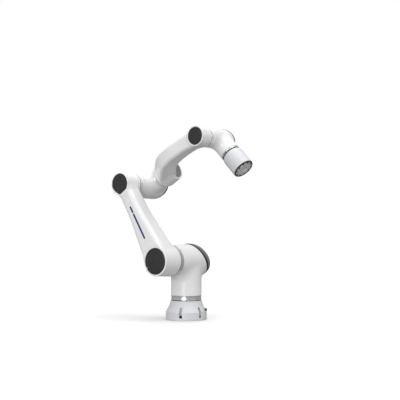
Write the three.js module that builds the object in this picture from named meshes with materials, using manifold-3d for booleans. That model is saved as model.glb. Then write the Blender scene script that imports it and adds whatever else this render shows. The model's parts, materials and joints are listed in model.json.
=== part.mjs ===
// A six-axis collaborative robot arm with three two-axis joint modules (shoulder, elbow, wrist).
// Millimetres, +Z up. The origin is the centre of the base's bottom face.
// The shoulder, elbow and wrist modules share one form, at three sizes: a barrel along Y for
// one joint, a stem square to it for the other, and a tilted cover on the side away from the arm.
import * as THREE from "three";
import { mergeVertices } from "three/addons/utils/BufferGeometryUtils.js";
import Module from "manifold-3d";

const wasm = await Module();
wasm.setup();

// ---------------------------------------------------------------- driving dimensions
const shoulderHeight = 245; // crossing of joint axes 1 and 2 above the floor
const upperArmLength = 380; // joint axis 2 to joint axis 3
const forearmLength = 420; // joint axis 3 to joint axis 5
const toolReach = 180; // joint axis 5 to the tool face
const upperArmLean = 33.4; // degrees from upright, towards -X
const forearmRise = 25; // degrees above level, towards +X
const toolDrop = 45.9; // degrees below level, towards +X

const gap = 0.3; // clearance between neighbouring pieces
const jointGap = 2; // the dark line at each joint
const wall = 6; // cast housing wall

const shoulderSize = {
  barrelRadius: 64,
  bodyRadius: 66.5,
  stemRadius: 63.8,
  barrelReach: 108,
  stemReach: 164,
  barrelRing: 18,
  stemRing: 18,
  coverOffset: 45,
  coverTilt: 32,
  domeHeight: 50,
};
const elbowSize = {
  barrelRadius: 47,
  bodyRadius: 56,
  stemRadius: 47.5,
  barrelReach: 102.5,
  stemReach: 88,
  barrelRing: 15,
  stemRing: 15,
  coverOffset: 31.5,
  coverTilt: 27,
  domeHeight: 22,
};
const wristSize = {
  barrelRadius: 40,
  bodyRadius: 41,
  stemRadius: 41.5,
  barrelReach: 96,
  stemReach: 90,
  barrelRing: 12,
  stemRing: 8,
  coverOffset: 33.5,
  coverTilt: 30,
  domeHeight: 11,
};

const base = {
  footRadius: 85,
  footHeight: 33,
  topRadius: 64.8,
  topBore: 48,
  innerRadius: 57,
  plateRadius: 63,
  plateThickness: 5,
  boltCircleRadius: 76,
  boltHoleRadius: 4.5,
  pocketWidth: 12,
  pocketFloor: 10,
  pocketTop: 52,
  pocketDepthRadius: 65,
  pockets: 6,
  firstPocket: -7, // degrees from +X
  connectorAngle: 23,
  connectorHeight: 42,
};
const upperArm = {
  nearLow: 198, // the lower cap's face, from the arm's centre plane
  nearHigh: 184, // the upper cap's face
  collarNearRadius: 60.5,
  collarFarRadius: 64,
  lowCapRadius: 53,
  highCapRadius: 43,
};
const forearm = {
  collarEnd: 159, // the collar's end from joint axis 3
  endCapRadius: 41,
  near: 157.5, // the wrist-side cap's face
  wristCapRadius: 35,
  beamLow: -31, // the beam's underside and top, from the forearm's axis
  beamHigh: 34,
};
const tool = {
  radius: 44.6,
  throatRadius: 36, // where the barrel's rounded shoulder starts
  flangeRadius: 38.8,
  flangeHeight: 5.5, // how far the flange stands out of the barrel
  spigotRadius: 36,
  surroundRadius: 42,
  boltCircleRadius: 25,
  boltHoleRadius: 3.2,
  pilotRadius: 15.75,
  pilotDepth: 6,
};

// ---------------------------------------------------------------- solids
// A closed geometry as a solid, turned right side out if it was wound inwards.
function solid(geometry) {
  const bare = new THREE.BufferGeometry();
  bare.setAttribute("position", geometry.getAttribute("position").clone());
  if (geometry.index) bare.setIndex(geometry.index.clone());
  const merged = mergeVertices(bare, 1e-3);
  const triVerts = new Uint32Array(merged.index.array);
  const vertProperties = new Float32Array(merged.getAttribute("position").array);
  const made = new wasm.Manifold(new wasm.Mesh({ numProp: 3, vertProperties, triVerts }));
  if (made.volume() > 0) return made;
  for (let i = 0; i < triVerts.length; i += 3) {
    [triVerts[i + 1], triVerts[i + 2]] = [triVerts[i + 2], triVerts[i + 1]];
  }
  return new wasm.Manifold(new wasm.Mesh({ numProp: 3, vertProperties, triVerts }));
}

// The solid as a three.js geometry, with flat normals.
function geometryOf(made) {
  const mesh = made.getMesh();
  const geometry = new THREE.BufferGeometry();
  geometry.setAttribute("position", new THREE.BufferAttribute(mesh.vertProperties, 3));
  geometry.setIndex(new THREE.BufferAttribute(mesh.triVerts, 1));
  const flat = geometry.toNonIndexed();
  flat.computeVertexNormals();
  return flat;
}

// A profile of [radius, height] points turned about Z, closed by its ends on the axis or in a loop.
function turned(profile, segments = 28, closed = true) {
  const points = profile.map(([r, h]) => new THREE.Vector2(r, h));
  if (closed) points.push(points[0].clone());
  return new THREE.LatheGeometry(points, segments).rotateX(Math.PI / 2);
}

function tube(outer, inner, low, high, segments = 24) {
  const profile = [
    [inner, low],
    [outer, low],
    [outer, high],
    [inner, high],
  ];
  return turned(profile, segments);
}

function rod(profile, segments = 28) {
  const low = profile[0][1];
  const high = profile[profile.length - 1][1];
  return turned([[0, low], ...profile, [0, high]], segments, false);
}

// Turns a shape made along +Z so that it runs along -Y.
const alongBarrel = (geometry) => geometry.rotateX(Math.PI / 2);
// Turns a shape made along +Z so that it runs along -Z.
const alongStem = (geometry) => geometry.rotateX(Math.PI);

// A block that fills the half space in front of a plane through `point` with direction `normal`.
function halfSpace(point, normal, size = 400) {
  const block = new THREE.BoxGeometry(size, size, size).translate(0, 0, size / 2);
  const turn = new THREE.Quaternion().setFromUnitVectors(new THREE.Vector3(0, 0, 1), normal);
  block.applyQuaternion(turn);
  return solid(block.translate(point.x, point.y, point.z));
}

// ---------------------------------------------------------------- looks
const finishes = {
  white: { color: 0xe4e4e4, roughness: 0.35, metalness: 0 },
  darkTrim: { color: 0x222222, roughness: 0.6, metalness: 0 },
  darkGrey: { color: 0x4a4a4a, roughness: 0.6, metalness: 0 },
  silver: { color: 0xc4c6c8, roughness: 0.2, metalness: 1 },
  steel: { color: 0x8d8f92, roughness: 0.35, metalness: 1 },
  rubber: { color: 0x161616, roughness: 0.8, metalness: 0 },
  copper: { color: 0xa8623a, roughness: 0.4, metalness: 0.8 },
  board: { color: 0x1f5a36, roughness: 0.6, metalness: 0 },
};

function piece(group, name, geometry, finish) {
  const made = new THREE.Mesh(geometry, new THREE.MeshStandardMaterial(finishes[finish]));
  made.name = name;
  group.add(made);
  return made;
}

const degrees = (value) => (value * Math.PI) / 180;

// ---------------------------------------------------------------- base
const robot = new THREE.Group();

function baseHousing() {
  const top = shoulderHeight - shoulderSize.stemReach - jointGap;
  const plateSeat = base.plateThickness + gap;
  const profile = [
    [base.plateRadius + 1, 0],
    [base.footRadius, 0],
    [base.footRadius, base.footHeight],
    [79.5, 43],
    [74, 53],
    [69.2, 64],
    [66, 74],
    [base.topRadius, top],
    [base.topBore, top],
    [base.topBore, top - 9],
    [base.innerRadius - 3, top - 13],
    [base.innerRadius, 50],
    [base.innerRadius, plateSeat],
    [base.plateRadius + 1, plateSeat],
  ];
  let housing = solid(turned(profile, 30));
  const half = base.pocketWidth / 2;
  for (let k = 0; k < base.pockets; k += 1) {
    const outline = new THREE.Shape();
    outline.moveTo(-half, base.pocketFloor);
    outline.lineTo(half, base.pocketFloor);
    outline.lineTo(half, base.pocketTop - half);
    outline.absarc(0, base.pocketTop - half, half, 0, Math.PI, false);
    outline.lineTo(-half, base.pocketFloor);
    const settings = { depth: 30, bevelEnabled: false, curveSegments: 4 };
    const pocket = new THREE.ExtrudeGeometry(outline, settings);
    const hole = new THREE.CylinderGeometry(base.boltHoleRadius, base.boltHoleRadius, 40, 8);
    hole.rotateX(Math.PI / 2).translate(base.boltCircleRadius, 0, 0);
    const turn = degrees(base.firstPocket + (k * 360) / base.pockets);
    pocket.rotateX(Math.PI / 2).rotateZ(Math.PI / 2).translate(base.pocketDepthRadius, 0, 0);
    housing = housing.subtract(solid(pocket.rotateZ(turn)));
    housing = housing.subtract(solid(hole.rotateZ(turn)));
  }
  const socket = rod([[6.5, 55], [6.5, 95]], 12).rotateY(Math.PI / 2);
  socket.rotateZ(degrees(base.connectorAngle)).translate(0, 0, base.connectorHeight);
  return geometryOf(housing.subtract(solid(socket)));
}

function baseConnector() {
  const profile = [
    [4, 62],
    [6.2, 62],
    [6.2, 81],
    [5, 81],
    [5, 88],
    [3.2, 88],
    [3.2, 74],
    [4, 74],
  ];
  const plug = turned(profile, 12).rotateY(Math.PI / 2);
  return plug.rotateZ(degrees(base.connectorAngle)).translate(0, 0, base.connectorHeight);
}

piece(robot, "base_housing", baseHousing(), "white");
const plate = rod([[base.plateRadius, 0], [base.plateRadius, base.plateThickness]], 24);
piece(robot, "base_plate", plate, "steel");
piece(robot, "base_connector", baseConnector(), "darkTrim");

// ---------------------------------------------------------------- joint modules
// The barrel's outer surface, from its joint ring to well past the cover.
function barrelOutside(size, shrink) {
  const start = size.barrelReach - size.barrelRing - gap + (shrink ? 1 : 0);
  const swell = start - 0.55 * size.bodyRadius;
  const profile = [
    [size.bodyRadius - shrink, -1.8 * size.bodyRadius],
    [size.bodyRadius - shrink, swell * 0.3],
    [(size.bodyRadius + size.barrelRadius) / 2 - shrink, start - swell * 0.35],
    [size.barrelRadius - shrink, start],
  ];
  return solid(alongBarrel(rod(profile, shrink ? 16 : 28)));
}

function stemOutside(size, shrink) {
  const start = size.stemReach - size.stemRing - gap + (shrink ? 1 : 0);
  const profile = [
    [size.stemRadius - shrink, 0],
    [size.stemRadius - shrink, start],
  ];
  return solid(alongStem(rod(profile, shrink ? 16 : 28)));
}

// The tilted plane of a module's cover, `lift` in front of the housing's cut.
function coverPlane(size, lift) {
  const tilt = degrees(size.coverTilt);
  const normal = new THREE.Vector3(0, Math.cos(tilt), Math.sin(tilt));
  const point = new THREE.Vector3(0, size.coverOffset, 0).addScaledVector(normal, lift);
  return { point, normal };
}

function moduleHousing(size) {
  const { point, normal } = coverPlane(size, 0);
  const outside = barrelOutside(size, 0).add(stemOutside(size, 0));
  const inside = barrelOutside(size, wall).add(stemOutside(size, wall));
  return geometryOf(outside.subtract(halfSpace(point, normal)).subtract(inside));
}

const rimThickness = 7;
const domeLean = 14; // degrees from the barrel's axis, towards the side away from the stem

function moduleCoverRim(size) {
  const low = coverPlane(size, gap);
  const high = coverPlane(size, gap + rimThickness);
  const band = barrelOutside(size, 0.8).intersect(halfSpace(low.point, low.normal));
  const ring = band.subtract(halfSpace(high.point, high.normal));
  return geometryOf(ring.subtract(barrelOutside(size, wall)));
}

// A closed skin through rings of points; the last ring joins the first.
function loft(rings) {
  const count = rings[0].length;
  const index = [];
  rings.forEach((ring, k) => {
    const here = k * count;
    const there = ((k + 1) % rings.length) * count;
    ring.forEach((point, i) => {
      const j = (i + 1) % count;
      index.push(here + i, here + j, there + j, here + i, there + j, there + i);
    });
  });
  const skin = new THREE.BufferGeometry().setFromPoints(rings.flat());
  skin.setIndex(index);
  return skin;
}

// A domed shell on the barrel's tilted section. Its rings shrink as they rise along the lean.
function moduleCover(size) {
  const { normal } = coverPlane(size, 0);
  const foot = normal.clone().multiplyScalar(2 * gap + rimThickness);
  const lean = degrees(domeLean);
  const rise = new THREE.Vector3(0, Math.cos(lean), Math.sin(lean));
  const slope = Math.tan(degrees(size.coverTilt));
  const segments = 28;
  const levels = 7;
  const ring = (radius, height) => {
    const points = [];
    for (let i = 0; i < segments; i += 1) {
      const turn = (2 * Math.PI * i) / segments;
      const x = radius * Math.cos(turn);
      const z = radius * Math.sin(turn);
      const point = new THREE.Vector3(x, size.coverOffset - z * slope, z);
      points.push(point.add(foot).addScaledVector(rise, height));
    }
    return points;
  };
  const dome = (radius, height) => {
    const rings = [];
    for (let k = 0; k <= levels; k += 1) {
      const turn = (k / levels) * (Math.PI / 2);
      const across = k < levels ? radius * Math.cos(turn) ** 0.55 : 0;
      rings.push(ring(across, height * Math.sin(turn) ** 1.2));
    }
    return rings;
  };
  const outer = dome(size.bodyRadius - 2.5, size.domeHeight);
  const inner = dome(size.bodyRadius - 6.5, size.domeHeight - 3.5).reverse();
  return geometryOf(solid(loft([...outer, ...inner])));
}

// Joint pieces stack along one axis, each between two distances from the module's centre.
function jointRing(radius, reach, width) {
  return tube(radius - 0.6, radius - wall, reach - width, reach, 28);
}

function jointSeal(radius, reach) {
  return tube(radius - 3, radius - 9, reach + gap, reach + jointGap - gap, 16);
}

// A strain-wave gear: a ring with a stepped input side and a flange that seats in the joint ring.
function jointGear(radius, low, high, flange) {
  const step = low + 0.45 * (high - low);
  const profile = [
    [0.3 * radius, low],
    [0.72 * radius, low],
    [0.72 * radius, step],
    [radius, step],
    [radius, flange.low],
    [flange.radius, flange.low],
    [flange.radius, high],
    [0.3 * radius, high],
  ];
  return turned(profile, 28);
}

function jointStack(group, joint, place, stack, flange) {
  const { radius, marks } = stack;
  const [encoderLow, brakeLow, motorLow, gearLow, gearHigh] = marks;
  const bore = 0.3 * radius;
  const between = 1.5;
  const encoder = tube(0.62 * radius, bore, encoderLow, brakeLow - between, 12);
  const brake = tube(0.72 * radius, bore, brakeLow, motorLow - between, 12);
  const motor = tube(0.88 * radius, bore, motorLow, gearLow - between, 14);
  piece(group, joint + "_encoder", place(encoder), "board");
  piece(group, joint + "_brake", place(brake), "steel");
  piece(group, joint + "_motor", place(motor), "copper");
  piece(group, joint + "_gear", place(jointGear(radius, gearLow, gearHigh, flange)), "steel");
}

function jointModule(group, name, size, joints, stacks) {
  piece(group, name + "_housing", moduleHousing(size), "white");
  piece(group, name + "_cover_rim", moduleCoverRim(size), "darkTrim");
  piece(group, name + "_cover", moduleCover(size), "darkGrey");
  const stem = { place: alongStem, radius: size.stemRadius, reach: size.stemReach };
  const barrel = { place: alongBarrel, radius: size.barrelRadius, reach: size.barrelReach };
  const sides = [
    { joint: joints.stem, width: size.stemRing, ...stem },
    { joint: joints.barrel, width: size.barrelRing, ...barrel },
  ];
  for (const { joint, width, place, radius, reach } of sides) {
    const ring = jointRing(radius, reach, width);
    piece(group, joint + "_ring", place(ring), "silver");
    piece(group, joint + "_seal", place(jointSeal(radius, reach)), "rubber");
    const flange = { radius: radius - wall - gap, low: reach - width + 1 };
    jointStack(group, joint, place, stacks[joint], flange);
  }
}

// A group whose own +Z is turned about Y to lean `angle` degrees from upright, towards +X.
function leaningGroup(x, z, angle) {
  const group = new THREE.Group();
  group.position.set(x, 0, z);
  group.rotation.y = degrees(angle);
  robot.add(group);
  return group;
}

const elbowX = -upperArmLength * Math.sin(degrees(upperArmLean));
const elbowZ = shoulderHeight + upperArmLength * Math.cos(degrees(upperArmLean));
const wristX = elbowX + forearmLength * Math.cos(degrees(forearmRise));
const wristZ = elbowZ + forearmLength * Math.sin(degrees(forearmRise));

jointModule(
  leaningGroup(0, shoulderHeight, 0),
  "shoulder",
  shoulderSize,
  { stem: "joint_1", barrel: "joint_2" },
  {
    joint_1: { radius: 52, marks: [68, 76, 88, 118, 160] },
    joint_2: { radius: 46, marks: [8, 16, 28, 60, 104] },
  },
);
jointModule(
  leaningGroup(elbowX, elbowZ, -90 - forearmRise),
  "elbow",
  elbowSize,
  { stem: "joint_4", barrel: "joint_3" },
  {
    joint_3: { radius: 34, marks: [6, 13, 24, 54, 98] },
    joint_4: { radius: 36, marks: [36, 41, 48, 64, 84] },
  },
);
jointModule(
  leaningGroup(wristX, wristZ, toolDrop - 90),
  "wrist",
  wristSize,
  { stem: "joint_6", barrel: "joint_5" },
  {
    joint_5: { radius: 28, marks: [6, 12, 21, 48, 92] },
    joint_6: { radius: 29, marks: [31, 36, 44, 60, 86] },
  },
);

// ---------------------------------------------------------------- upper arm
// The arm's outline seen along Y: narrower than its collars, widest at the shoulder end.
function armOutline(inset) {
  const halfWidths = [
    [0, 56],
    [50, 56],
    [130, 47],
    [200, 38.5],
    [290, 34],
    [upperArmLength, 34],
  ];
  const right = halfWidths.map(([z, half]) => new THREE.Vector2(half - inset, z));
  const left = halfWidths.map(([z, half]) => new THREE.Vector2(inset - half, z)).reverse();
  return new THREE.Shape([...right, ...left]);
}

// The outline as a bar between two distances on the -Y side, with rounded edges.
function armBar(inset, near, far, round) {
  const bar = new THREE.ExtrudeGeometry(armOutline(inset + round), {
    depth: near - far - 2 * round,
    bevelEnabled: round > 0,
    bevelSize: round,
    bevelThickness: round,
    bevelSegments: 3,
  });
  return solid(bar.rotateX(Math.PI / 2).translate(0, -far - round, 0));
}

function upperArmShell() {
  const far = shoulderSize.barrelReach + jointGap;
  const farHigh = elbowSize.barrelReach + jointGap;
  const lowCollar = solid(
    alongBarrel(rod([[upperArm.collarFarRadius, far], [upperArm.collarNearRadius, upperArm.nearLow]])),
  );
  const highCollar = solid(
    alongBarrel(rod([[elbowSize.barrelRadius, farHigh], [47, upperArm.nearHigh]])).translate(
      0,
      0,
      upperArmLength,
    ),
  );
  const bar = armBar(0, upperArm.nearHigh + 3, far + 1, 16);
  const lowBore = [
    [40, far - 1],
    [40, far + 6],
    [51, far + 6],
    [51, upperArm.nearLow - 6],
    [upperArm.lowCapRadius + gap, upperArm.nearLow - 6],
    [upperArm.lowCapRadius + gap, upperArm.nearLow + 1],
  ];
  const highBore = [
    [30, farHigh - 1],
    [30, farHigh + 6],
    [40, farHigh + 6],
    [40, upperArm.nearHigh - 6],
    [upperArm.highCapRadius + gap, upperArm.nearHigh - 6],
    [upperArm.highCapRadius + gap, upperArm.nearHigh + 4],
  ];
  const channel = armBar(8, upperArm.nearHigh - 8, far + 12, 0);
  const shell = lowCollar
    .add(highCollar)
    .add(bar)
    .subtract(solid(alongBarrel(rod(lowBore))))
    .subtract(solid(alongBarrel(rod(highBore)).translate(0, 0, upperArmLength)))
    .subtract(channel);
  return geometryOf(shell);
}

// A shallow domed cap, made along +Z up to height `face`.
function armCap(radius, face) {
  const profile = [
    [radius, face - 5],
    [radius, face - 2.5],
    [radius - 5, face - 0.5],
    [0.5 * radius, face],
  ];
  return alongBarrel(rod(profile));
}

const upperArmGroup = leaningGroup(0, shoulderHeight, -upperArmLean);
piece(upperArmGroup, "upper_arm_shell", upperArmShell(), "white");
const lowCap = armCap(upperArm.lowCapRadius, upperArm.nearLow);
piece(upperArmGroup, "upper_arm_shoulder_cap", lowCap, "darkTrim");
const highCap = armCap(upperArm.highCapRadius, upperArm.nearHigh);
highCap.translate(0, 0, upperArmLength);
piece(upperArmGroup, "upper_arm_elbow_cap", highCap, "darkTrim");

// The cable bundle that runs through a hollow arm, along a smooth curve.
function harness(points, radius, steps) {
  const circle = new THREE.Shape();
  circle.absarc(0, 0, radius, 0, 2 * Math.PI, false);
  return new THREE.ExtrudeGeometry(circle, {
    steps,
    curveSegments: 8,
    bevelEnabled: false,
    extrudePath: new THREE.CatmullRomCurve3(points.map((p) => new THREE.Vector3(...p))),
  });
}

const upperHarness = harness([[0, -150, 12], [0, -150, 120], [0, -150, 250], [0, -146, 366]], 7, 8);
piece(upperArmGroup, "upper_arm_harness", upperHarness, "rubber");

// ---------------------------------------------------------------- forearm
// The forearm seen square to its length: it leaves the collar and swings out beside the axis.
// Points are [distance along the forearm, distance to the -Y side].
function forearmOutline(inset) {
  const near = [
    [92, 20],
    [104, 46],
    [128, 78],
    [160, 112],
    [200, 138],
    [250, 150],
    [forearmLength, 154],
  ];
  const far = [
    [forearmLength, 102],
    [375, 99],
    [330, 86],
    [270, 80],
    [225, 64],
    [190, 38],
    [150, 8],
    [110, 0],
  ];
  const nearSide = near.map(([z, y]) => [z + (z < 200 ? inset : 0), y - inset]);
  const farSide = far.map(([z, y]) => [z, y + inset]);
  return new THREE.Shape([...nearSide, ...farSide].map(([z, y]) => new THREE.Vector2(z, -y)));
}

function forearmBar(inset, low, high, round) {
  const bar = new THREE.ExtrudeGeometry(forearmOutline(inset + round), {
    depth: high - low - 2 * round,
    bevelEnabled: round > 0,
    bevelSize: round,
    bevelThickness: round,
    bevelSegments: 2,
  });
  // The outline's first axis becomes +Z, its second +Y, and the thickness runs along -X.
  bar.rotateY(-Math.PI / 2).translate(-low - round, 0, 0);
  return solid(bar);
}

function forearmShell() {
  const start = elbowSize.stemReach + jointGap;
  const far = wristSize.barrelReach + jointGap;
  const collar = solid(
    rod([[elbowSize.stemRadius, start], [elbowSize.stemRadius, forearm.collarEnd]]),
  );
  const wristCollar = solid(
    alongBarrel(rod([[40, far], [40, forearm.near]])).translate(0, 0, forearmLength),
  );
  const bore = [
    [32, start - 1],
    [32, start + 6],
    [40, start + 6],
    [40, forearm.collarEnd - 6],
    [forearm.endCapRadius + gap, forearm.collarEnd - 6],
    [forearm.endCapRadius + gap, forearm.collarEnd + 1],
  ];
  const wristBore = [
    [25, far - 1],
    [25, far + 6],
    [33, far + 6],
    [33, forearm.near - 6],
    [forearm.wristCapRadius + gap, forearm.near - 6],
    [forearm.wristCapRadius + gap, forearm.near + 1],
  ];
  const beyond = rod([[forearm.endCapRadius + gap, forearm.collarEnd], [forearm.endCapRadius + gap, 200]]);
  const bar = forearmBar(0, forearm.beamLow, forearm.beamHigh, 14).subtract(solid(beyond));
  const shell = collar
    .add(wristCollar)
    .add(bar)
    .subtract(solid(rod(bore)))
    .subtract(solid(alongBarrel(rod(wristBore)).translate(0, 0, forearmLength)))
    .subtract(forearmBar(9, forearm.beamLow + 9, forearm.beamHigh - 9, 0));
  return geometryOf(shell);
}

const forearmGroup = leaningGroup(elbowX, elbowZ, 90 - forearmRise);
piece(forearmGroup, "forearm_shell", forearmShell(), "white");
const endCap = rod(
  [
    [forearm.endCapRadius, forearm.collarEnd - 5],
    [forearm.endCapRadius, forearm.collarEnd - 2.5],
    [forearm.endCapRadius - 5, forearm.collarEnd - 0.5],
  ],
);
piece(forearmGroup, "forearm_end_cap", endCap, "darkGrey");
const wristCap = armCap(forearm.wristCapRadius, forearm.near);
wristCap.translate(0, 0, forearmLength);
piece(forearmGroup, "forearm_wrist_cap", wristCap, "darkTrim");

// ---------------------------------------------------------------- tool end
const toolEnd = toolReach - tool.flangeHeight; // the barrel's end

function toolHousing() {
  const start = wristSize.stemReach + jointGap;
  const bore = tool.spigotRadius + gap;
  const profile = [
    [20, start],
    [tool.throatRadius, start],
    [tool.radius - 3.6, start + 3],
    [tool.radius - 1, start + 9],
    [tool.radius, start + 18],
    [tool.radius, toolEnd - 1.5],
    [tool.radius - 1.5, toolEnd],
    [bore, toolEnd],
    [bore, toolEnd - 16],
    [34, toolEnd - 20],
    [34, start + 8],
    [20, start + 8],
  ];
  return turned(profile, 30);
}

// The dark ring round the flange.
function toolSurround() {
  return tube(tool.surroundRadius, tool.flangeRadius + gap, toolEnd + gap, toolReach - 1.5, 30);
}

// The tool flange: a metal disc with a pilot bore and four tapped holes, on a spigot.
function toolFlange() {
  const face = toolReach - 0.5;
  const profile = [
    [tool.spigotRadius, toolEnd - 8],
    [tool.spigotRadius, toolEnd + gap],
    [tool.flangeRadius, toolEnd + gap],
    [tool.flangeRadius, face],
    [tool.pilotRadius, face],
    [tool.pilotRadius, face - tool.pilotDepth],
  ];
  let flange = solid(rod(profile));
  for (let k = 0; k < 4; k += 1) {
    const turn = degrees(45 + 90 * k);
    const hole = new THREE.CylinderGeometry(tool.boltHoleRadius, tool.boltHoleRadius, 18, 8);
    hole.rotateX(Math.PI / 2).translate(tool.boltCircleRadius, 0, face).rotateZ(turn);
    flange = flange.subtract(solid(hole));
  }
  return geometryOf(flange);
}

const toolGroup = leaningGroup(wristX, wristZ, 90 + toolDrop);
piece(toolGroup, "tool_housing", toolHousing(), "white");
piece(toolGroup, "tool_surround", toolSurround(), "darkTrim");
piece(toolGroup, "tool_flange", toolFlange(), "steel");

export default robot;
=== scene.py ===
"""The looks of a six-axis collaborative robot arm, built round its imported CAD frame.

Lengths in the piece functions are millimetres in each link's own frame: its origin is the joint
crossing, +Y is the world's Y, and +Z is given beside each link. link_frame() turns them to metres.
"""
import json
import math

import bpy
import numpy as np
from mathutils import Matrix, Vector


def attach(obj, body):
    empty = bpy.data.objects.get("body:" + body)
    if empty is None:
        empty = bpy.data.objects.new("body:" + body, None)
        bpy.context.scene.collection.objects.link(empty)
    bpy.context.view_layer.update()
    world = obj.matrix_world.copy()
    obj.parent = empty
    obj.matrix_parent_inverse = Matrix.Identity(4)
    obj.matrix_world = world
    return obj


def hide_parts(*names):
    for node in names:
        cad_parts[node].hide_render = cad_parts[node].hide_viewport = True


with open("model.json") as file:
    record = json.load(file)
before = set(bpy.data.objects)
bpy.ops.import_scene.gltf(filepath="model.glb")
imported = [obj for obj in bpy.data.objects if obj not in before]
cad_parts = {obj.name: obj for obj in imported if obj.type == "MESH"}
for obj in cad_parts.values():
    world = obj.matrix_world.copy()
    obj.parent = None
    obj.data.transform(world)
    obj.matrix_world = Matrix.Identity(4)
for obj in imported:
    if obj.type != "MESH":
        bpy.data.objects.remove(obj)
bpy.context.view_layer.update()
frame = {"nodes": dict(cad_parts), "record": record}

MM = 0.001

# ------------------------------------------------------------------ places, from the frame
JOINTS = {joint["name"]: joint for joint in frame["record"]["behaviour"]["joints"]}
SHOULDER = Vector(JOINTS["joint_2_swing"]["pos_m"])
ELBOW = Vector(JOINTS["joint_3_swing"]["pos_m"])
WRIST = Vector(JOINTS["joint_5_swing"]["pos_m"])
UPPER_ARM_WAY = (ELBOW - SHOULDER).normalized()
FOREARM_WAY = Vector(JOINTS["joint_4_turn"]["axis"]).normalized()
TOOL_WAY = Vector(JOINTS["joint_6_turn"]["axis"]).normalized()
UP = Vector((0, 0, 1))
SIDE = Vector((0, 1, 0))
UPPER_ARM_LENGTH = (ELBOW - SHOULDER).length / MM
FOREARM_LENGTH = (WRIST - ELBOW).length / MM


def link_frame(origin, way):
    """The millimetre frame whose +Z is `way` and whose +Y is the world's."""
    turn = Matrix((SIDE.cross(way), SIDE, way)).transposed().to_4x4()
    return Matrix.Translation(origin) @ turn


BASE_FRAME = link_frame(Vector((0, 0, 0)), UP)
SHOULDER_FRAME = link_frame(SHOULDER, UP)
UPPER_ARM_FRAME = link_frame(SHOULDER, UPPER_ARM_WAY)
ELBOW_FRAME = link_frame(ELBOW, -FOREARM_WAY)
FOREARM_FRAME = link_frame(ELBOW, FOREARM_WAY)
WRIST_FRAME = link_frame(WRIST, -TOOL_WAY)
TOOL_FRAME = link_frame(WRIST, TOOL_WAY)

# ------------------------------------------------------------------ sizes, in millimetres
GAP = 0.3  # between two pieces that are fixed to each other
JOINT_GAP = 2.0
WALL = 7.0
EDGE = 1.4  # rounding of a machined edge
LINK_STEP = 1.5  # cell size of the foot's and the links' surfaces
# Each module's radii, the reach of its barrel and stem from the joint crossing, and its cover.
# "rim_low" is how much thicker the cover's rim is at its lowest point, and "step" the cell size.
MODULES = {
    "shoulder": dict(
        barrel=64, body=66.5, stem=63.8, barrel_reach=108, stem_reach=164, barrel_ring=18,
        stem_ring=18, cover_offset=45, cover_tilt=32, rim=7, rim_low=8, dome=46, fillet=34,
        step=2.0, frame=SHOULDER_FRAME,
    ),
    "elbow": dict(
        barrel=47, body=56, stem=47.5, barrel_reach=102.5, stem_reach=88, barrel_ring=15,
        stem_ring=15, cover_offset=31.5, cover_tilt=27, rim=7, rim_low=5, dome=20, fillet=26,
        step=1.8, frame=ELBOW_FRAME,
    ),
    "wrist": dict(
        barrel=40, body=41, stem=41.5, barrel_reach=96, stem_reach=90, barrel_ring=12,
        stem_ring=8, cover_offset=33.5, cover_tilt=30, rim=6, rim_low=4, dome=11, fillet=24,
        step=1.5, frame=WRIST_FRAME,
    ),
}
SHOULDER_FACE = 198.0  # the upper arm's cap faces, on the -Y side
ELBOW_FACE = 184.0
SHOULDER_CAP = 53.0
ELBOW_CAP = 43.0
WRIST_FACE = 157.5
WRIST_CAP = 35.0
WRIST_COLLAR = 40.0
COLLAR_END = 159.0
COLLAR_CAP = 41.0
CAP_DEPTH = 6.0  # of the recess that a cap sits in
CAP_GAP = 0.5  # round a cap
TOOL_REACH = 180.0
TOOL_RADIUS = 44.6
TOOL_END = TOOL_REACH - 5.5  # the barrel's end, with the flange standing out of it
SURROUND_RADIUS = 42.0
FLANGE_RADIUS = 37.6
FLANGE_FACE = TOOL_REACH - 0.5
FLANGE_STEP = 0.9  # cell size of the flange's surface


# ------------------------------------------------------------------ signed distance fields
def union(a, b, blend):
    """The union of two fields, with a fillet of about `blend` where they meet."""
    blend = np.maximum(blend, 1e-3)
    mix = np.clip(0.5 + 0.5 * (b - a) / blend, 0, 1)
    return b * (1 - mix) + a * mix - blend * mix * (1 - mix)


def common(a, b, blend=EDGE):
    """What two fields share, with a rounded edge."""
    return -union(-a, -b, blend)


def polar(x, y, turn):
    """How far (x, y) is out along the direction `turn`, and how far across it."""
    out = x * math.cos(turn) + y * math.sin(turn)
    across = -x * math.sin(turn) + y * math.cos(turn)
    return out, across


def ease(t):
    """0 to 1 with a soft start and end."""
    t = np.clip(t, 0, 1)
    return t * t * (3 - 2 * t)


def curve_through(points, at):
    """A smooth value along `at`, through (place, value) points."""
    places, values = np.array(points, float).T
    slopes = np.gradient(values, places)
    at = np.clip(at, places[0], places[-1])
    k = np.clip(np.searchsorted(places, at) - 1, 0, len(places) - 2)
    span = places[k + 1] - places[k]
    t = (at - places[k]) / span
    rise = (2 * t**3 - 3 * t**2 + 1) * values[k] + (3 * t**2 - 2 * t**3) * values[k + 1]
    lean = (t**3 - 2 * t**2 + t) * slopes[k] + (t**3 - t**2) * slopes[k + 1]
    return rise + lean * span


def rounded_box(a, b, round_by):
    """A rounded rectangle from two distances beyond its sides."""
    a, b = a + round_by, b + round_by
    outside = np.hypot(np.maximum(a, 0), np.maximum(b, 0))
    return outside + np.minimum(np.maximum(a, b), 0) - round_by


NUDGE = 0.05  # step of the slope's differences
PULLS = 4  # how often a point is pulled onto the surface
LONGEST_PULL = 0.4  # of a cell
# Corner offsets of a cell, and its twelve edges as pairs of corners.
CORNERS = np.array([(i, j, k) for i in (0, 1) for j in (0, 1) for k in (0, 1)])
EDGES = [
    (a, b) for a in range(8) for b in range(a + 1, 8) if abs(CORNERS[a] - CORNERS[b]).sum() == 1
]


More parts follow.
